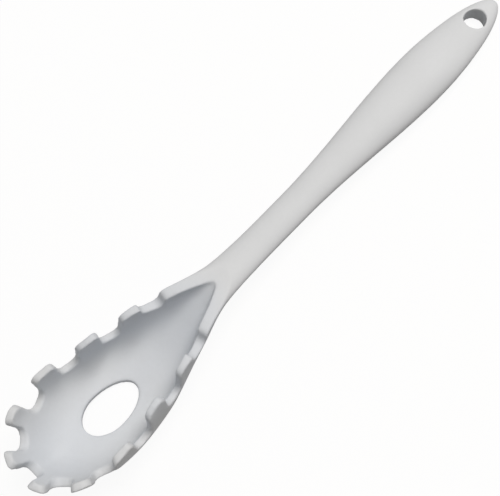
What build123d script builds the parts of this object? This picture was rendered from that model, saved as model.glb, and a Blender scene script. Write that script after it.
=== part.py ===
from build123d import *
import math
import os

# A one-piece silicone pasta server that lies on a table as it does at rest.
# X runs from the front tines to the hang hole, Y to the left, Z up. The origin is on the table under
# the middle of the length. All sizes are in millimetres. A place is a distance from the front tines.

# Overall sizes
overall_length = 323.5
head_length = 122.0
head_width = 55.4
head_height = 36.8
neck_width = 16.6
neck_thickness = 8.4
grip_width = 27.8
grip_thickness = 15.0

# Straight centre line of the handle, by its heights over the table at the end of the neck, which is
# measured from the back of the head, and near the end of the grip
neck_height = 15.7
neck_run = 33.0
tail_height = 4.3
tail_from_end = 6.5

# Drain hole in the bottom of the bowl, an egg with its blunt end to the front
drain_width = 19.0
drain_front = 13.4
drain_rear = 18.0
drain_place_share = 0.3656
drain_height = 3.0

# The bowl and its tines lean back towards the handle by this angle
head_pitch = 13.0

# Hang hole, an oval through the end of the grip
hang_length = 11.6
hang_width = 11.2
hang_from_end = 17.2
hang_pitch = 12.0

# Gaps between the tines
gap_floor_width = 9.6
front_gap_width = 8.2
gap_floor_radius = 4.0
gap_reach_in = 9.0
gap_reach_out = 16.0
corner_run = 5.0
corner_slope = 12.0

# Stiff inner pieces, which the skin covers on all sides
skin_cover = 1.2
bar_width = 8.0
bar_thickness = 3.0
bar_length = 100.0
bar_past_head = 4.0
bar_hole = 3.6
bar_hole_inset = 6.0
bar_hole_pitch = 9.0
bar_in_head_core = 20.0
bar_in_grip_core = 29.0
tail_cover = 3.0

handle_fullness = 2.15
section_points = 24
section_gap_share = 0.02473
corner_attempts = 6
overrun = 20.0
half_turn = 180.0

nose_x = -overall_length / 2
section_gap = section_gap_share * overall_length
half_head = head_width / 2
neck_place = head_length + neck_run
tail_place = overall_length - tail_from_end
drain_place = drain_place_share * head_length
bar_place = head_length + bar_past_head
head_core_end = bar_place + bar_in_head_core
grip_core_start = bar_place + bar_length - bar_in_grip_core

# Outer form of the head, one row for each section: place as a share of the head's length, half width
# as a share of the head's, then as shares of the head's height the widest line, the keel under it and
# the rise over it, and last the fullness of the section, where 2 is an ellipse and more is squarer.
head_shares = [
    (0.0025, 0.134, 1.000, 0.973, 0.14, 1.50),
    (0.010, 0.267, 1.000, 0.897, 0.14, 1.45),
    (0.025, 0.416, 1.000, 0.740, 0.14, 1.45),
    (0.049, 0.575, 1.003, 0.560, 0.14, 1.50),
    (0.082, 0.717, 1.008, 0.405, 0.14, 1.55),
    (0.131, 0.857, 1.010, 0.299, 0.14, 1.75),
    (0.197, 0.962, 0.995, 0.212, 0.18, 2.10),
    (0.270, 1.000, 0.940, 0.141, 0.30, 2.60),
    (0.369, 0.982, 0.800, 0.068, 0.50, 3.10),
    (0.475, 0.906, 0.600, 0.014, 0.70, 3.10),
    (0.574, 0.827, 0.560, 0.004, 0.80, 2.95),
    (0.672, 0.729, 0.680, 0.038, 0.60, 2.65),
    (0.754, 0.655, 0.785, 0.120, 0.30, 2.40),
    (0.836, 0.555, 0.745, 0.240, 0.14, 2.30),
    (0.902, 0.460, 0.695, 0.335, 0.14, 2.20),
    (0.967, 0.383, 0.609, 0.400, 0.14, 2.10),
]

# Hollow of the bowl, in the same columns.
bowl_shares = [
    (0.0336, 0.123, 1.000, 0.962, 0.14, 1.50),
    (0.041, 0.245, 1.000, 0.902, 0.14, 1.45),
    (0.057, 0.394, 1.003, 0.750, 0.14, 1.45),
    (0.082, 0.534, 1.008, 0.605, 0.14, 1.50),
    (0.115, 0.657, 1.010, 0.465, 0.14, 1.55),
    (0.164, 0.776, 1.006, 0.364, 0.14, 1.80),
    (0.221, 0.848, 0.990, 0.288, 0.18, 2.30),
    (0.295, 0.866, 0.930, 0.223, 0.30, 2.90),
    (0.385, 0.838, 0.800, 0.155, 0.50, 3.40),
    (0.484, 0.762, 0.620, 0.105, 0.70, 3.50),
    (0.574, 0.688, 0.580, 0.098, 0.80, 3.20),
    (0.672, 0.590, 0.700, 0.138, 0.60, 2.90),
    (0.754, 0.485, 0.785, 0.222, 0.30, 2.70),
    (0.820, 0.375, 0.760, 0.316, 0.14, 2.60),
    (0.869, 0.296, 0.730, 0.392, 0.14, 2.55),
    (0.918, 0.213, 0.705, 0.472, 0.14, 2.50),
    (0.959, 0.130, 0.680, 0.545, 0.14, 2.45),
    (0.988, 0.069, 0.665, 0.600, 0.14, 2.40),
    (1.000, 0.033, 0.655, 0.630, 0.14, 2.40),
]

# Line of the tine ends and of the shoulders, seen from the side: place and height as shares of the
# head's length and height. It runs out of the neck's top behind the bowl.
rim_shares = [
    (-0.10, 0.990),
    (0.02, 1.000),
    (0.13, 1.010),
    (0.33, 0.965),
    (0.54, 0.915),
    (0.72, 0.815),
    (0.86, 0.735),
    (0.967, 0.660),
    (1.04, 0.626),
    (1.12, 0.632),
]

# Neck, one row for each section: place as a share of its run behind the head, half width as a share of
# the neck's, height of the widest line as a share of the straight centre line's, and thickness share.
neck_shares = [
    (0.122, 1.130, 1.100, 1.07),
    (0.425, 1.050, 1.045, 0.97),
    (0.850, 1.005, 1.010, 1.00),
]

# Handle behind the neck: place as a share of the length from the neck to the end, half width and
# half thickness between the neck's and the grip's, as a share of the way.
handle_shares = [
    (0.060, 0.000, 0.04),
    (0.170, 0.030, 0.14),
    (0.280, 0.210, 0.32),
    (0.390, 0.490, 0.62),
    (0.490, 0.760, 0.87),
    (0.590, 0.950, 1.00),
    (0.670, 1.000, 0.99),
    (0.740, 0.930, 0.80),
    (0.810, 0.725, 0.56),
    (0.870, 0.445, 0.34),
]

# Rounded end of the grip: place as a share of the length from the neck to the end, half width and
# half thickness as shares of the grip's.
tail_shares = [
    (0.920, 0.635, 0.600),
    (0.955, 0.485, 0.510),
    (0.981, 0.315, 0.390),
    (0.996, 0.140, 0.220),
]

# Gaps on the left side, from the shoulder to the front: place and distance from the middle as shares
# of the head's length and half width, floor height as a share of the head's, heading of the way out
# and backward lean in degrees, width at the tine ends as a share of the floor's, at a height over the
# floor that is a share of the head's, and radius of the tines' corners as a share of the gap's depth.
gap_shares = [
    (0.770, 0.578, 0.611, 79.0, 18.0, 1.28, 0.18, 0.40),
    (0.588, 0.820, 0.478, 80.0, 13.0, 1.32, 0.42, 0.26),
    (0.402, 0.942, 0.516, 86.0, 9.0, 1.30, 0.42, 0.25),
    (0.223, 0.852, 0.565, 107.0, 3.5, 1.24, 0.42, 0.25),
    (0.095, 0.508, 0.690, 132.0, 0.0, 1.17, 0.31, 0.28),
]
front_gap_shares = (0.035, 0.645, 1.16, 0.35, 0.26)


def at(place):
    """X of a distance from the front tines."""
    return nose_x + place


def axis_height(place):
    """Height of the handle's straight centre line, carried on under the neck and the bowl."""
    slope = (tail_height - neck_height) / (tail_place - neck_place)
    return neck_height + slope * (place - neck_place)


def head_stations(rows):
    """Sections of the head: place, half width, widest level, keel height, rise over it, fullness."""
    stations = []
    for place, width, level, keel, rise, fullness in rows:
        stations.append((place * head_length, width * half_head, level * head_height,
                         keel * head_height, rise * head_height, fullness))
    return stations


def handle_stations():
    """Sections from the neck to the end of the grip, in the head's form."""
    stations = []
    for place, width, height, thickness in neck_shares:
        where = head_length + place * neck_run
        level = height * axis_height(where)
        half = thickness * neck_thickness / 2
        stations.append((where, width * neck_width / 2, level, level - half, half, handle_fullness))
    handle_length = overall_length - neck_place
    for place, width, thickness in handle_shares:
        where = neck_place + place * handle_length
        level = axis_height(where)
        half_width = (neck_width + width * (grip_width - neck_width)) / 2
        half = (neck_thickness + thickness * (grip_thickness - neck_thickness)) / 2
        stations.append((where, half_width, level, level - half, half, handle_fullness))
    for place, width, thickness in tail_shares:
        where = neck_place + place * handle_length
        level = axis_height(where)
        half = thickness * grip_thickness / 2
        stations.append((where, width * grip_width / 2, level, level - half, half, handle_fullness))
    return stations


def smoothed(stations):
    """The stations with more of them between, on smooth lines through the given ones."""
    slopes = []
    for index in range(len(stations)):
        before = stations[max(index - 1, 0)]
        after = stations[min(index + 1, len(stations) - 1)]
        slopes.append([(b - a) / (after[0] - before[0]) for a, b in zip(before, after)])
    result = []
    for index in range(len(stations) - 1):
        run = stations[index + 1][0] - stations[index][0]
        parts = max(1, round(run / section_gap))
        for part in range(parts):
            share = part / parts
            weight = share * share * (3 - 2 * share)
            lead = share * (1 - share) ** 2 * run
            trail = share * share * (share - 1) * run
            row = []
            for a, b, from_slope, to_slope in zip(stations[index], stations[index + 1],
                                                  slopes[index], slopes[index + 1]):
                row.append(a + weight * (b - a) + lead * from_slope + trail * to_slope)
            result.append(tuple(row))
    result.append(stations[-1])
    return result


def grown(stations, amount):
    """The same stations with their surface moved out by an amount, or in if it is negative."""
    result = []
    last = len(stations) - 1
    for index, (place, width, level, keel, rise, fullness) in enumerate(stations):
        before = stations[max(index - 1, 0)]
        after = stations[min(index + 1, last)]
        run = after[0] - before[0]
        width_slope = (after[1] - before[1]) / run
        keel_slope = (after[3] - before[3]) / run
        width_run = math.hypot(1, width_slope)
        shift = -amount * width_slope / width_run
        new_keel = keel + shift * keel_slope - amount * math.hypot(1, keel_slope)
        result.append((place + shift, width + amount / width_run, level, new_keel,
                       rise + amount, fullness))
    return result


def sections(stations):
    """One closed smooth section across the length for each station, all with the same spacing."""
    spacing = [step / section_points for step in range(section_points + 1)]
    faces = []
    for place, width, level, keel, rise, fullness in stations:
        points = []
        for step in range(section_points):
            angle = 2 * math.pi * step / section_points
            across = math.cos(angle)
            upward = math.sin(angle)
            reach = (abs(across) ** fullness + abs(upward) ** fullness) ** (-1 / fullness)
            height = rise if upward > 0 else level - keel
            points.append(Vector(width * reach * across, level + height * reach * upward))
        with BuildSketch(Plane.YZ.offset(at(place))) as section:
            with BuildLine():
                add(Edge.make_spline(points, periodic=True, parameters=spacing))
            make_face()
        faces.append(section.sketch)
    return faces


def rim_cut(drop):
    """Everything above the line of the tine ends, lowered by a drop, as a side view to extrude."""
    line = [(at(place * head_length), height * head_height - drop) for place, height in rim_shares]
    ceiling = head_height + overrun
    with BuildSketch(Plane.XZ) as side:
        with BuildLine():
            Spline(*line)
            Polyline(line[-1], (line[-1][0], ceiling), (line[0][0], ceiling), line[0])
        make_face()
    return side.sketch


def rim_height(place):
    """Height of the line of the tine ends at a place, taken as straight between its points."""
    share = place / head_length
    for (before, low), (after, high) in zip(rim_shares, rim_shares[1:]):
        if share <= after:
            break
    return head_height * (low + (high - low) * (share - before) / (after - before))


def gap_side(plane, side, half_floor, slope, corner, growth):
    """One side of a gap on its plane: the corner of the tine beside it, the corner's radius, and the
    end of the straight that leads out over the tine."""
    depth = 0
    for attempt in range(corner_attempts):
        meeting = plane.from_local_coords((side * (half_floor + slope * depth), depth))
        depth += rim_height(meeting.X - nose_x) - meeting.Z
    radius = corner * depth
    rise = math.radians(corner_slope)
    turn = math.pi / 2 - math.atan(slope) - rise
    up = depth - growth - radius * math.tan(turn / 2) * math.sin(rise)
    out = half_floor + slope * up
    end = (side * (out + corner_run * math.cos(rise)), up + corner_run * math.sin(rise))
    return (side * out, up), radius - growth, end


def gap_profile(plane, floor_width, top_width, height, corner, growth):
    """A gap between two tines, drawn on its plane inside the bowl: rounded floor, sides that open, and
    rounded corners at the tine ends."""
    half_floor = floor_width / 2 + growth
    slope = half_floor * (top_width - 1) / (height * head_height)
    ceiling = head_height + overrun
    left, left_radius, left_end = gap_side(plane, -1, half_floor, slope, corner, growth)
    right, right_radius, right_end = gap_side(plane, 1, half_floor, slope, corner, growth)
    with BuildSketch(plane.offset(-gap_reach_in)) as gap:
        with BuildLine():
            Polyline((-half_floor, -growth), (half_floor, -growth), right, right_end,
                     (right_end[0], ceiling), (left_end[0], ceiling), left_end, left, close=True)
        make_face()
        fillet(gap.vertices().group_by(Axis.Y)[0], gap_floor_radius + growth / 2)
        fillet(gap.vertices().sort_by_distance(left)[0], left_radius)
        fillet(gap.vertices().sort_by_distance(right)[0], right_radius)
    return gap.sketch


def gap_planes():
    """Plane, floor width, top width, height and corner of every gap: five a side, one at the front."""
    gaps = []
    for place, width, floor, heading, lean, top_width, height, corner in gap_shares:
        for side in (1, -1):
            turn = side * math.radians(heading)
            along = math.cos(math.radians(lean))
            plane = Plane(origin=(at(place * head_length), side * width * half_head, floor * head_height),
                          x_dir=(-math.sin(turn) * along, math.cos(turn) * along,
                                 side * math.sin(math.radians(lean))),
                          z_dir=(math.cos(turn), math.sin(turn), 0))
            gaps.append((plane, gap_floor_width, top_width, height, corner))
    place, floor, top_width, height, corner = front_gap_shares
    front = Plane(origin=(at(place * head_length), 0, floor * head_height), x_dir=(0, -1, 0),
                  z_dir=(-1, 0, 0))
    gaps.append((front, front_gap_width, top_width, height, corner))
    return gaps


def gap_cutters(growth):
    """The space of every gap, grown all round."""
    cutters = []
    for plane, floor_width, top_width, height, corner in gap_planes():
        opening = gap_profile(plane, floor_width, top_width, height, corner, growth)
        cutters.append(extrude(opening, amount=gap_reach_in + gap_reach_out, mode=Mode.PRIVATE))
    return cutters


def drain_plane():
    """Plane across the drain hole, square to the backward lean of the bowl."""
    lean = math.radians(head_pitch)
    return Plane(origin=(at(drain_place), 0, drain_height), x_dir=(math.cos(lean), 0, -math.sin(lean)),
                 z_dir=(math.sin(lean), 0, math.cos(lean)))


def drain_egg(growth):
    """The drain hole's outline, grown all round."""
    half = drain_width / 2 + growth
    front = drain_front + growth
    rear = drain_rear + growth
    with BuildSketch(drain_plane()) as egg:
        with BuildLine():
            EllipticalCenterArc((0, 0), front, half, half_turn / 2, arc_size=half_turn)
            EllipticalCenterArc((0, 0), rear, half, -half_turn / 2, arc_size=half_turn)
        make_face()
    return egg.sketch


def hang_plane():
    """Plane across the hang hole, on the centre line of the grip."""
    place = overall_length - hang_from_end
    lean = math.radians(hang_pitch)
    return Plane(origin=(at(place), 0, axis_height(place)), x_dir=(math.cos(lean), 0, -math.sin(lean)),
                 z_dir=(math.sin(lean), 0, math.cos(lean)))


def hang_oval(growth):
    """The hang hole's outline, grown all round."""
    with BuildSketch(hang_plane()) as oval:
        Ellipse(hang_length / 2 + growth, hang_width / 2 + growth)
    return oval.sketch


def bar_plane():
    """Plane through the middle of the steel bar, flat side up, along the handle's centre line."""
    slope = math.atan2(neck_height - tail_height, tail_place - neck_place)
    middle = bar_place + bar_length / 2
    return Plane(origin=(at(middle), 0, axis_height(middle)),
                 x_dir=(math.cos(slope), 0, -math.sin(slope)),
                 z_dir=(math.sin(slope), 0, math.cos(slope)))


outer_stations = smoothed(head_stations(head_shares) + handle_stations())
bowl_stations = smoothed(head_stations(bowl_shares))

# Steel bar: a flat stainless strip with two anchor holes at each end
with BuildPart() as steel_bar:
    with BuildSketch(bar_plane()) as bar_outline:
        SlotOverall(bar_length, bar_width)
        for end in (1, -1):
            first = bar_length / 2 - bar_hole_inset
            with Locations((end * first, 0), (end * (first - bar_hole_pitch), 0)):
                Circle(bar_hole / 2, mode=Mode.SUBTRACT)
    extrude(amount=bar_thickness / 2, both=True)
steel_bar.part.label = "steel_bar"

# Head core: a stiff shell in the middle of the bowl's wall, with fingers in the tines, a ring round
# the drain hole and a socket that grips the bar in the neck
with BuildPart() as head_core:
    loft(sections(grown(outer_stations, -skin_cover)))
    split(bisect_by=Plane.YZ.offset(at(head_core_end)), keep=Keep.BOTTOM)
    extrude(rim_cut(skin_cover), amount=head_width, both=True, mode=Mode.SUBTRACT)
    loft(sections(grown(bowl_stations, skin_cover)), mode=Mode.SUBTRACT)
    add(gap_cutters(skin_cover), mode=Mode.SUBTRACT)
    extrude(drain_egg(skin_cover), amount=overrun / 2, both=True, mode=Mode.SUBTRACT)
    add(steel_bar.part, mode=Mode.SUBTRACT)
head_core.part.label = "head_core"

# Grip core: a stiff filler in the fat grip, with an eye round the hang hole
with BuildPart() as grip_core:
    loft(sections(grown(outer_stations, -skin_cover)))
    split(bisect_by=Plane.YZ.offset(at(grip_core_start)), keep=Keep.TOP)
    split(bisect_by=Plane.YZ.offset(at(overall_length - tail_cover)), keep=Keep.BOTTOM)
    extrude(hang_oval(skin_cover), amount=overrun, both=True, mode=Mode.SUBTRACT)
    add(steel_bar.part, mode=Mode.SUBTRACT)
grip_core.part.label = "grip_core"

# Silicone skin: the whole outside in one piece, moulded over the three stiff pieces
with BuildPart() as silicone_skin:
    loft(sections(outer_stations))
    extrude(rim_cut(0), amount=head_width, both=True, mode=Mode.SUBTRACT)
    loft(sections(bowl_stations), mode=Mode.SUBTRACT)
    add(gap_cutters(0), mode=Mode.SUBTRACT)
    extrude(drain_egg(0), amount=overrun / 2, both=True, mode=Mode.SUBTRACT)
    extrude(hang_oval(0), amount=overrun, both=True, mode=Mode.SUBTRACT)
    add([head_core.part, grip_core.part, steel_bar.part], mode=Mode.SUBTRACT)
silicone_skin.part.label = "silicone_skin"

os.makedirs("parts", exist_ok=True)
for piece in (silicone_skin, head_core, grip_core, steel_bar):
    export_step(piece.part, "parts/" + piece.part.label + ".step")
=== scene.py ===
"""Pasta server: its silicone skin, the stiff parts inside it, and a small photo stage."""
import math

import bmesh
import bpy
import numpy as np
from mathutils import Euler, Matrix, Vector


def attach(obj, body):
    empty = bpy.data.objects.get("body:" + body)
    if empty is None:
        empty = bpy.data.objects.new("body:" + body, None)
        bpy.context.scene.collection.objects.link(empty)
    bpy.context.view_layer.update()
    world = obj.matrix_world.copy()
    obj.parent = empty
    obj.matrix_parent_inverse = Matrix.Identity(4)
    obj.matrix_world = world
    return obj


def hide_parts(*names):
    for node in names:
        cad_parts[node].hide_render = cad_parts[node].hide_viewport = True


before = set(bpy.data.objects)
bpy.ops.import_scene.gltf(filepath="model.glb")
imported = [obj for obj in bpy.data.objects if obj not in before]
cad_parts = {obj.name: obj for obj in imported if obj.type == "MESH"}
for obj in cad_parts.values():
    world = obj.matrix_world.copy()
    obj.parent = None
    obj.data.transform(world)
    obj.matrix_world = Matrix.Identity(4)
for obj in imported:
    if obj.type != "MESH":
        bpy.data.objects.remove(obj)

bl_info = {
    "name": "Pasta server",
    "version": (1, 0, 0),
    "blender": (4, 5, 0),
    "location": "View3D > Sidebar > Pasta server",
    "description": "Dresses the pasta server's solids and sets them on a small stage",
    "category": "Object",
}

SKIN_NODE = "silicone_skin"
CORE_NODES = ("head_core", "grip_core")
BAR_NODE = "steel_bar"
BODY = "root"
MM = 0.001
WHITE = (1.0, 1.0, 1.0, 1.0)

# Most of a noise texture's values lie between these two.
NOISE_LOW = 0.3
NOISE_HIGH = 0.7

# The bowl's hollow as an ellipsoid, where the skin gets painted shade, and the shares of its radii
# over which that painted shade fades out.
BOWL_CENTRE = (-100 * MM, 0.0, 30 * MM)
BOWL_RADII = (64 * MM, 26.5 * MM, 29 * MM)
BOWL_FADE_SHARES = (0.86, 1.04)


class SkinSettings(bpy.types.PropertyGroup):
    """Sizes and finish of the silicone skin."""

    colour: bpy.props.FloatVectorProperty(
        name="Colour", description="Pale grey of the moulded silicone", subtype="COLOR",
        size=3, min=0.0, max=1.0, default=(0.640, 0.668, 0.702),
    )
    roughness: bpy.props.FloatProperty(
        name="Roughness", description="How matt the silicone is", subtype="FACTOR",
        min=0.0, max=1.0, default=0.62,
    )
    cell: bpy.props.FloatProperty(
        name="Cell", description="Edge of the cells that the skin's surface is rebuilt from",
        unit="LENGTH", min=0.0003, max=0.002, default=0.0005,
    )
    edge_softness: bpy.props.FloatProperty(
        name="Edge softness", description="Distance over which each moulded edge is rounded off",
        unit="LENGTH", min=0.0, max=0.002, default=0.0010,
    )
    tip_lean: bpy.props.FloatProperty(
        name="Tip lean", description="How far the tips of the widest pair of tines lean inward",
        unit="LENGTH", min=0.0, max=0.003, default=0.0007,
    )
    # Painted shade: the inside of the bowl's hollow is made darker and bluer than the rest of the
    # skin.
    bowl_painted_shade: bpy.props.FloatVectorProperty(
        name="Bowl tint", description="How much cooler the smooth inner face of the bowl is",
        subtype="COLOR", size=3, min=0.0, max=2.0, default=(0.965, 0.980, 1.005),
    )
    grain: bpy.props.FloatProperty(
        name="Grain", description="Width of the fine grain that the mould leaves",
        unit="LENGTH", min=0.0001, max=0.002, default=0.00035,
    )
    grain_depth: bpy.props.FloatProperty(
        name="Grain depth", description="Depth of the fine grain",
        unit="LENGTH", min=0.0, max=0.0001, default=0.000006,
    )


class CoreSettings(bpy.types.PropertyGroup):
    """Finish of the two moulded nylon cores."""

    colour: bpy.props.FloatVectorProperty(
        name="Colour", description="Dark grey of the glass-filled nylon", subtype="COLOR",
        size=3, min=0.0, max=1.0, default=(0.18, 0.18, 0.19),
    )
    roughness: bpy.props.FloatProperty(
        name="Roughness", description="How matt the nylon is", subtype="FACTOR",
        min=0.0, max=1.0, default=0.5,
    )


class BarSettings(bpy.types.PropertyGroup):
    """Finish of the flat steel bar."""

    colour: bpy.props.FloatVectorProperty(
        name="Colour", description="Tone of the brushed stainless steel", subtype="COLOR",
        size=3, min=0.0, max=1.0, default=(0.62, 0.62, 0.60),
    )
    roughness: bpy.props.FloatProperty(
        name="Roughness", description="How dull the brushed steel is", subtype="FACTOR",
        min=0.0, max=1.0, default=0.32,
    )
    scratch: bpy.props.FloatProperty(
        name="Scratch", description="Width of one brushing scratch",
        unit="LENGTH", min=0.00002, max=0.001, default=0.00012,
    )


class StageSettings(bpy.types.PropertyGroup):
    """Camera, lamp, sky and floor."""

    camera_place: bpy.props.FloatVectorProperty(
        name="Camera place", description="Where the camera stands", subtype="TRANSLATION",
        size=3, default=(-0.0753393, -0.1277415, 0.463172),
    )
    camera_turn: bpy.props.FloatVectorProperty(
        name="Camera turn", description="How the camera is turned", subtype="EULER", size=3,
        default=(math.radians(16.28695), math.radians(6.76761), math.radians(-46.67112)),
    )
    lens: bpy.props.FloatProperty(
        name="Lens", description="Focal length on a 36 mm sensor", subtype="DISTANCE_CAMERA",
        min=10.0, max=300.0, default=72.0,
    )
    sensor: bpy.props.FloatProperty(
        name="Sensor", description="Width of the camera's sensor", subtype="DISTANCE_CAMERA",
        min=10.0, max=100.0, default=36.0,
    )
    key_power: bpy.props.FloatProperty(
        name="Key lamp", description="Power of the large soft lamp", unit="POWER",
        min=0.0, max=500.0, default=30.5,
    )
    key_place: bpy.props.FloatVectorProperty(
        name="Key place", description="Where the large soft lamp hangs", subtype="TRANSLATION",
        size=3, default=(0.78, 0.0, 1.84),
    )
    key_size: bpy.props.FloatProperty(
        name="Key size", description="Edge of the large soft lamp", unit="LENGTH",
        min=0.1, max=5.0, default=0.9,
    )
    sky_level: bpy.props.FloatProperty(
        name="Sky level", description="Even light from all round", subtype="UNSIGNED",
        min=0.0, max=2.0, default=0.29,
    )
    light_colour: bpy.props.FloatVectorProperty(
        name="Light colour", description="Slightly warm white of the lamp and the sky",
        subtype="COLOR", size=3, min=0.0, max=1.0, default=(1.0, 0.955, 0.905),
    )
    floor_colour: bpy.props.FloatVectorProperty(
        name="Floor colour", description="Tone of the light that the floor throws back up",
        subtype="COLOR", size=3, min=0.0, max=1.0, default=(0.31, 0.30, 0.29),
    )
    floor_white: bpy.props.FloatProperty(
        name="Floor white", description="How far the floor that the camera sees is washed out",
        subtype="FACTOR", min=0.0, max=1.0, default=0.93,
    )
    floor_half: bpy.props.FloatProperty(
        name="Floor half", description="Half of the square floor's edge", unit="LENGTH",
        min=0.5, max=20.0, default=3.0,
    )


class PastaServerSettings(bpy.types.PropertyGroup):
    """All the settings of the pasta server's scene."""

    skin: bpy.props.PointerProperty(type=SkinSettings)
    cores: bpy.props.PointerProperty(type=CoreSettings)
    bar: bpy.props.PointerProperty(type=BarSettings)
    stage: bpy.props.PointerProperty(type=StageSettings)


def add_node(tree, kind, **settings):
    """Adds a shader node; settings are the node's properties."""
    made = tree.nodes.new(kind)
    for name, value in settings.items():
        setattr(made, name, value)
    return made


def new_material(name):
    """A fresh material, its node tree, and a shader wired to its output."""
    material = bpy.data.materials.new(name)
    material.use_nodes = True
    tree = material.node_tree
    tree.nodes.clear()
    output = add_node(tree, "ShaderNodeOutputMaterial")
    shader = add_node(tree, "ShaderNodeBsdfPrincipled")
    tree.links.new(shader.outputs["BSDF"], output.inputs["Surface"])
    return material, tree, shader


def object_point(tree, stretch=(1.0, 1.0, 1.0)):
    """The surface point in the object's own metres, stretched along each axis."""
    place = add_node(tree, "ShaderNodeTexCoord")
    mapping = add_node(tree, "ShaderNodeMapping")
    mapping.inputs["Scale"].default_value = stretch
    tree.links.new(place.outputs["Object"], mapping.inputs["Vector"])
    return mapping.outputs["Vector"]


def noise(tree, point, width, detail=2.0, roughness=0.5):
    """Noise whose lumps are about that wide, in metres."""
    made = add_node(tree, "ShaderNodeTexNoise")
    made.inputs["Scale"].default_value = 1.0 / width
    made.inputs["Detail"].default_value = detail
    made.inputs["Roughness"].default_value = roughness
    tree.links.new(point, made.inputs["Vector"])
    return made.outputs["Fac"]


def spread(tree, value, low, high, start=NOISE_LOW, end=NOISE_HIGH):
    """The value, noise unless start and end say otherwise, carried over to low..high."""
    made = add_node(tree, "ShaderNodeMapRange")
    made.inputs["From Min"].default_value = start
    made.inputs["From Max"].default_value = end
    made.inputs["To Min"].default_value = low
    made.inputs["To Max"].default_value = high
    tree.links.new(value, made.inputs["Value"])
    return made.outputs["Result"]


def sum_of(tree, first, second):
    """The two values added up."""
    made = add_node(tree, "ShaderNodeMath", operation="ADD")
    tree.links.new(first, made.inputs[0])
    tree.links.new(second, made.inputs[1])
    return made.outputs["Value"]


def tinted(tree, colour, factor):
    """The colour made darker or lighter by a factor that varies over the surface."""
    made = add_node(tree, "ShaderNodeVectorMath", operation="SCALE")
    made.inputs[0].default_value = colour
    tree.links.new(factor, made.inputs["Scale"])
    return made.outputs["Vector"]


def bowl_shade_mask(tree):
    """One inside the bowl's hollow, and zero on the tine ends, the outside and the handle: where
    the bowl's painted shade goes.
    """
    place = add_node(tree, "ShaderNodeTexCoord")
    mapping = add_node(tree, "ShaderNodeMapping", vector_type="TEXTURE")
    mapping.inputs["Location"].default_value = BOWL_CENTRE
    mapping.inputs["Scale"].default_value = BOWL_RADII
    tree.links.new(place.outputs["Object"], mapping.inputs["Vector"])
    reach = add_node(tree, "ShaderNodeVectorMath", operation="LENGTH")
    tree.links.new(mapping.outputs["Vector"], reach.inputs[0])
    return spread(tree, reach.outputs["Value"], 1.0, 0.0, *BOWL_FADE_SHARES)


def with_painted_shade(tree, colour, tint, mask):
    """The colour multiplied by a tint where the mask is one, which paints shade into it: darker
    and bluer.
    """
    made = add_node(tree, "ShaderNodeMix", data_type="RGBA", blend_type="MULTIPLY")
    tree.links.new(mask, made.inputs["Factor"])
    tree.links.new(colour, made.inputs["A"])
    made.inputs["B"].default_value = (*tint, 1.0)
    return made.outputs["Result"]


def bump(tree, shader, height, depth):
    """Gives the shader a bump of that depth, in metres."""
    made = add_node(tree, "ShaderNodeBump")
    made.inputs["Strength"].default_value = 1.0
    made.inputs["Distance"].default_value = depth
    tree.links.new(height, made.inputs["Height"])
    tree.links.new(made.outputs["Normal"], shader.inputs["Normal"])


def silicone_material(settings):
    """Matt pale grey silicone: fine mould grain, faint clouding, and painted shade that makes the
    bowl's hollow darker and bluer.
    """
    cloud_width = 18 * MM
    mottle_width = 1.6 * MM
    darkest_cloud, lightest_cloud = 0.982, 1.012
    mottle_swing = 0.008
    roughness_swing = 0.06
    silicone_ior = 1.41
    material, tree, shader = new_material("pale_silicone")
    point = object_point(tree)
    clouds = noise(tree, point, cloud_width, detail=3.0)
    clouding = spread(tree, clouds, darkest_cloud, lightest_cloud)
    mottles = noise(tree, point, mottle_width, detail=4.0)
    mottle = spread(tree, mottles, -mottle_swing, mottle_swing)
    factor = sum_of(tree, clouding, mottle)
    clouded = tinted(tree, settings.colour, factor)
    # Painted shade: darker and bluer inside the bowl's hollow.
    tone = with_painted_shade(tree, clouded, settings.bowl_painted_shade, bowl_shade_mask(tree))
    tree.links.new(tone, shader.inputs["Base Color"])
    grain = noise(tree, point, settings.grain, detail=3.0, roughness=0.6)
    low = settings.roughness - roughness_swing
    high = settings.roughness + roughness_swing
    tree.links.new(spread(tree, grain, low, high), shader.inputs["Roughness"])
    shader.inputs["IOR"].default_value = silicone_ior
    bump(tree, shader, grain, settings.grain_depth)
    return material


def nylon_material(settings):
    """Dark glass-filled nylon: flow streaks along the part and a spark-eroded surface."""
    streak_width = 2.5 * MM
    streak_stretch = (0.15, 1.0, 1.0)
    streak_swing = 0.18
    pit_width = 0.3 * MM
    pit_depth = 0.02 * MM
    roughness_swing = 0.1
    nylon_ior = 1.53
    material, tree, shader = new_material("filled_nylon")
    flow = noise(tree, object_point(tree, streak_stretch), streak_width, detail=5.0)
    streaks = spread(tree, flow, 1 - streak_swing, 1 + streak_swing)
    tree.links.new(tinted(tree, settings.colour, streaks), shader.inputs["Base Color"])
    pits = noise(tree, object_point(tree), pit_width, detail=4.0, roughness=0.65)
    low = settings.roughness - roughness_swing
    high = settings.roughness + roughness_swing
    tree.links.new(spread(tree, pits, low, high), shader.inputs["Roughness"])
    shader.inputs["IOR"].default_value = nylon_ior
    bump(tree, shader, pits, pit_depth)
    return material


def steel_material(settings):
    """Stainless steel brushed along its length."""
    scratch_stretch = (0.012, 1.0, 1.0)
    scratch_depth = 0.01 * MM
    darkest, lightest = 0.88, 1.08
    smoother, rougher = 0.1, 0.12
    material, tree, shader = new_material("brushed_steel")
    along = object_point(tree, scratch_stretch)
    scratches = noise(tree, along, settings.scratch, detail=4.0, roughness=0.7)
    tone = spread(tree, scratches, darkest, lightest)
    tree.links.new(tinted(tree, settings.colour, tone), shader.inputs["Base Color"])
    low = settings.roughness - smoother
    high = settings.roughness + rougher
    tree.links.new(spread(tree, scratches, low, high), shader.inputs["Roughness"])
    shader.inputs["Metallic"].default_value = 1.0
    bump(tree, shader, scratches, scratch_depth)
    return material


def length_of(shell):
    """How far the shell's vertices reach along the server."""
    places = [vertex.co.x for vertex in shell]
    return max(places) - min(places)


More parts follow.
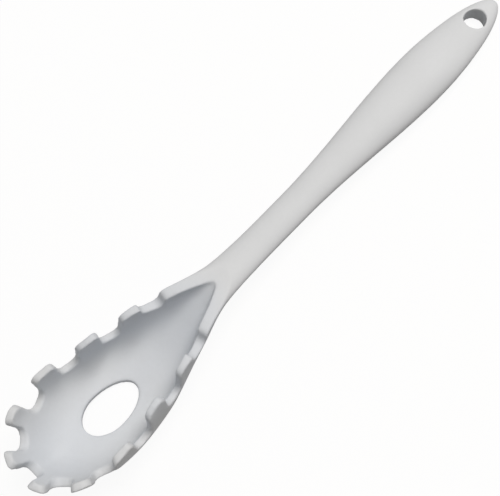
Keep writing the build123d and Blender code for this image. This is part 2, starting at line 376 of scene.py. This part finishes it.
def outer_shell(source):
    """A copy of the mesh with only its outermost closed surface, without the sealed hollows."""
    weld_distance = 0.001 * MM
    work = bmesh.new()
    work.from_mesh(source)
    bmesh.ops.remove_doubles(work, verts=work.verts, dist=weld_distance)
    unseen = set(work.verts)
    shells = []
    while unseen:
        shell = [unseen.pop()]
        for vertex in shell:
            for edge in vertex.link_edges:
                other = edge.other_vert(vertex)
                if other in unseen:
                    unseen.remove(other)
                    shell.append(other)
        shells.append(shell)
    longest = max(shells, key=length_of)
    for shell in shells:
        if shell is not longest:
            bmesh.ops.delete(work, geom=shell, context="VERTS")
    mesh = bpy.data.meshes.new("skin_shell")
    work.to_mesh(mesh)
    work.free()
    return mesh


def applied(piece):
    """Replaces the piece's mesh by what its modifiers make of it."""
    graph = bpy.context.evaluated_depsgraph_get()
    mesh = bpy.data.meshes.new_from_object(piece.evaluated_get(graph))
    piece.modifiers.clear()
    piece.data = mesh


def lean_tips(mesh, lean):
    """Bends the tips of the widest pair of tines inward, more the higher they stand."""
    points = np.zeros(len(mesh.vertices) * 3)
    mesh.vertices.foreach_get("co", points)
    points = points.reshape(-1, 3)
    tine_place = -101.4 * MM
    tine_reach = 9 * MM
    foot = 20 * MM
    top = 36 * MM
    rise = np.clip((points[:, 2] - foot) / (top - foot), 0, 1) ** 2
    near = np.clip(1 - ((points[:, 0] - tine_place) / tine_reach) ** 2, 0, 1)
    points[:, 1] -= np.sign(points[:, 1]) * lean * rise * near
    mesh.vertices.foreach_set("co", points.ravel())
    mesh.update()


def make_skin(settings):
    """The silicone skin: the solid's outer surface, rebuilt evenly with every edge rounded off."""
    skin = bpy.data.objects.new("soft_skin", outer_shell(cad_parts[SKIN_NODE].data))
    bpy.context.scene.collection.objects.link(skin)
    rebuild = skin.modifiers.new("even_cells", "REMESH")
    rebuild.mode = "VOXEL"
    rebuild.voxel_size = settings.cell
    rounding = skin.modifiers.new("round_edges", "SMOOTH")
    # Half steps spread an edge by half a cell times the root of their number.
    rounding.factor = 0.5
    rounding.iterations = round((2 * settings.edge_softness / settings.cell) ** 2)
    applied(skin)
    lean_tips(skin.data, settings.tip_lean)
    skin.data.polygons.foreach_set("use_smooth", [True] * len(skin.data.polygons))
    skin.data.materials.clear()
    skin.data.materials.append(silicone_material(settings))
    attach(skin, BODY)
    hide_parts(SKIN_NODE)
    return skin


def dress_node(name, material):
    """Gives a solid of the frame its finish, and leaves its shape alone."""
    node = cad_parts[name]
    node.data.materials.clear()
    node.data.materials.append(material)


def background_level(tree, plain, shown):
    """Mixes in what the camera, reflections and clear materials see."""
    path = add_node(tree, "ShaderNodeLightPath")
    seen = add_node(tree, "ShaderNodeMath", operation="MAXIMUM")
    tree.links.new(path.outputs["Is Camera Ray"], seen.inputs[0])
    tree.links.new(path.outputs["Is Glossy Ray"], seen.inputs[1])
    seen_too = add_node(tree, "ShaderNodeMath", operation="MAXIMUM")
    tree.links.new(seen.outputs["Value"], seen_too.inputs[0])
    tree.links.new(path.outputs["Is Transmission Ray"], seen_too.inputs[1])
    mixed = add_node(tree, "ShaderNodeMixShader")
    tree.links.new(seen_too.outputs["Value"], mixed.inputs["Fac"])
    tree.links.new(plain, mixed.inputs[1])
    tree.links.new(shown, mixed.inputs[2])
    return mixed.outputs["Shader"]


def make_world(settings):
    """Even light from all round, and white to the camera."""
    white_strength = 1.0
    world = bpy.data.worlds.new("studio")
    world.use_nodes = True
    tree = world.node_tree
    tree.nodes.clear()
    plain = add_node(tree, "ShaderNodeBackground")
    plain.inputs["Strength"].default_value = settings.sky_level
    white = add_node(tree, "ShaderNodeBackground")
    white.inputs["Strength"].default_value = white_strength
    plain.inputs["Color"].default_value = (*settings.light_colour, 1.0)
    white.inputs["Color"].default_value = WHITE
    output = add_node(tree, "ShaderNodeOutputWorld")
    level = background_level(tree, plain.outputs["Background"], white.outputs["Background"])
    tree.links.new(level, output.inputs["Surface"])
    bpy.context.scene.world = world


def make_floor(settings):
    """A wide pale floor, almost white to the camera, that still takes a soft shadow."""
    half = settings.floor_half
    paper_colour = (0.9, 0.9, 0.9, 1.0)
    mesh = bpy.data.meshes.new("floor")
    corners = [(-half, -half, 0.0), (half, -half, 0.0), (half, half, 0.0), (-half, half, 0.0)]
    mesh.from_pydata(corners, [], [(0, 1, 2, 3)])
    floor = bpy.data.objects.new("floor", mesh)
    bpy.context.scene.collection.objects.link(floor)
    material = bpy.data.materials.new("pale_floor")
    material.use_nodes = True
    tree = material.node_tree
    tree.nodes.clear()
    matt = add_node(tree, "ShaderNodeBsdfDiffuse")
    matt.inputs["Color"].default_value = (*settings.floor_colour, 1.0)
    paper = add_node(tree, "ShaderNodeBsdfDiffuse")
    paper.inputs["Color"].default_value = paper_colour
    glow = add_node(tree, "ShaderNodeEmission")
    glow.inputs["Color"].default_value = WHITE
    veil = add_node(tree, "ShaderNodeMixShader")
    veil.inputs["Fac"].default_value = settings.floor_white
    tree.links.new(paper.outputs["BSDF"], veil.inputs[1])
    tree.links.new(glow.outputs["Emission"], veil.inputs[2])
    output = add_node(tree, "ShaderNodeOutputMaterial")
    level = background_level(tree, matt.outputs["BSDF"], veil.outputs["Shader"])
    tree.links.new(level, output.inputs["Surface"])
    mesh.materials.append(material)


def make_lamp(settings):
    """A large square lamp that shines on the object's middle."""
    lamp = bpy.data.lights.new("key_lamp", "AREA")
    lamp.energy = settings.key_power
    lamp.size = settings.key_size
    lamp.color = settings.light_colour
    holder = bpy.data.objects.new("key_lamp", lamp)
    holder.location = settings.key_place
    downward = -Vector(settings.key_place)
    holder.rotation_euler = downward.to_track_quat("-Z", "Y").to_euler()
    bpy.context.scene.collection.objects.link(holder)


def make_camera(settings):
    """The camera at the photograph's viewpoint."""
    nearest = 0.01
    farthest = 20.0
    data = bpy.data.cameras.new("camera")
    data.sensor_fit = "HORIZONTAL"
    data.sensor_width = settings.sensor
    data.lens = settings.lens
    data.clip_start = nearest
    data.clip_end = farthest
    camera = bpy.data.objects.new("camera", data)
    camera.location = settings.camera_place
    camera.rotation_euler = Euler(settings.camera_turn, "XYZ")
    bpy.context.scene.collection.objects.link(camera)
    bpy.context.scene.camera = camera


class PASTASERVER_OT_make_skin(bpy.types.Operator):
    """Makes the silicone skin from the frame's solid"""

    bl_idname = "pastaserver.make_skin"
    bl_label = "Make the silicone skin"

    def execute(self, context):
        make_skin(context.scene.pasta_server.skin)
        return {"FINISHED"}


class PASTASERVER_OT_finish_cores(bpy.types.Operator):
    """Gives the two nylon cores their finish"""

    bl_idname = "pastaserver.finish_cores"
    bl_label = "Finish the nylon cores"

    def execute(self, context):
        material = nylon_material(context.scene.pasta_server.cores)
        for name in CORE_NODES:
            dress_node(name, material)
        return {"FINISHED"}


class PASTASERVER_OT_finish_bar(bpy.types.Operator):
    """Gives the steel bar its brushed finish"""

    bl_idname = "pastaserver.finish_bar"
    bl_label = "Finish the steel bar"

    def execute(self, context):
        dress_node(BAR_NODE, steel_material(context.scene.pasta_server.bar))
        return {"FINISHED"}


class PASTASERVER_OT_set_stage(bpy.types.Operator):
    """Sets up the floor, the lamp, the background and the camera"""

    bl_idname = "pastaserver.set_stage"
    bl_label = "Set the stage"

    def execute(self, context):
        settings = context.scene.pasta_server.stage
        context.scene.view_settings.view_transform = "Standard"
        make_world(settings)
        make_floor(settings)
        make_lamp(settings)
        make_camera(settings)
        return {"FINISHED"}


class PASTASERVER_PT_sidebar(bpy.types.Panel):
    """Lists the pasta server's settings and steps"""

    bl_label = "Pasta server"
    bl_idname = "PASTASERVER_PT_sidebar"
    bl_space_type = "VIEW_3D"
    bl_region_type = "UI"
    bl_category = "Pasta server"

    def draw(self, context):
        settings = context.scene.pasta_server
        for title, group, operator in (
            ("Silicone skin", settings.skin, PASTASERVER_OT_make_skin),
            ("Nylon cores", settings.cores, PASTASERVER_OT_finish_cores),
            ("Steel bar", settings.bar, PASTASERVER_OT_finish_bar),
            ("Stage", settings.stage, PASTASERVER_OT_set_stage),
        ):
            box = self.layout.box()
            box.label(text=title)
            for name in group.__annotations__:
                box.prop(group, name)
            box.operator(operator.bl_idname)


CLASSES = (
    SkinSettings,
    CoreSettings,
    BarSettings,
    StageSettings,
    PastaServerSettings,
    PASTASERVER_OT_make_skin,
    PASTASERVER_OT_finish_cores,
    PASTASERVER_OT_finish_bar,
    PASTASERVER_OT_set_stage,
    PASTASERVER_PT_sidebar,
)


def register():
    """Registers the classes and the scene's settings."""
    for made in CLASSES:
        bpy.utils.register_class(made)
    bpy.types.Scene.pasta_server = bpy.props.PointerProperty(type=PastaServerSettings)


def unregister():
    """Takes the settings and the classes out again."""
    del bpy.types.Scene.pasta_server
    for made in reversed(CLASSES):
        bpy.utils.unregister_class(made)


def main():
    """Makes the whole scene."""
    register()
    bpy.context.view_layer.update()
    bpy.ops.pastaserver.make_skin()
    bpy.ops.pastaserver.finish_cores()
    bpy.ops.pastaserver.finish_bar()
    bpy.ops.pastaserver.set_stage()


if __name__ == "__main__":
    main()
